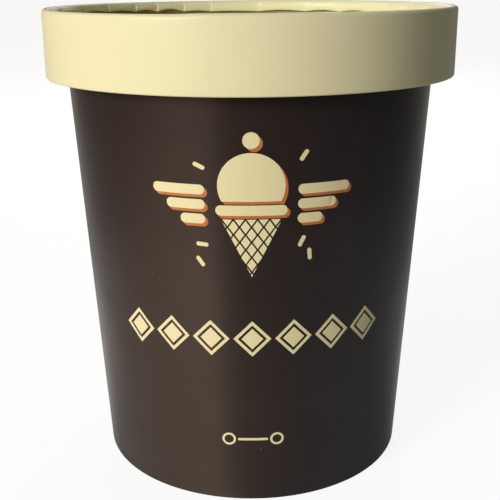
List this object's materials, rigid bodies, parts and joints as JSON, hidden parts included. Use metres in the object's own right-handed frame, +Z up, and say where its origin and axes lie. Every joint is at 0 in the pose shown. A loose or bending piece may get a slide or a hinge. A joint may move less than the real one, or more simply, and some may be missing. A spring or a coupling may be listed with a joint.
{
  "type": "gelato cup",
  "caption": "Shut paperboard gelato tub: a dark brown tapered round wall under a pressed-on cream board lid with a turned-in rim and a sunk panel.",
  "frame": {"origin": "centre of the base, on the surface that the tub stands on", "axes": "+Z up along the tub's axis, -Y towards the front, which carries the printed emblem"},
  "size_m": [0.0958, 0.0958, 0.109],
  "materials": {
    "brown_board": "dark chocolate brown print under a satin coating",
    "cream_board": "pale cream print under a soft gloss varnish",
    "bare_board": "unprinted coated board, off-white"
  },
  "bodies": {
    "root": {"tub": "brown_board", "lid_band": "cream_board", "lid_panel": "cream_board", "base_panel": "bare_board"}
  },
  "joints": []
}
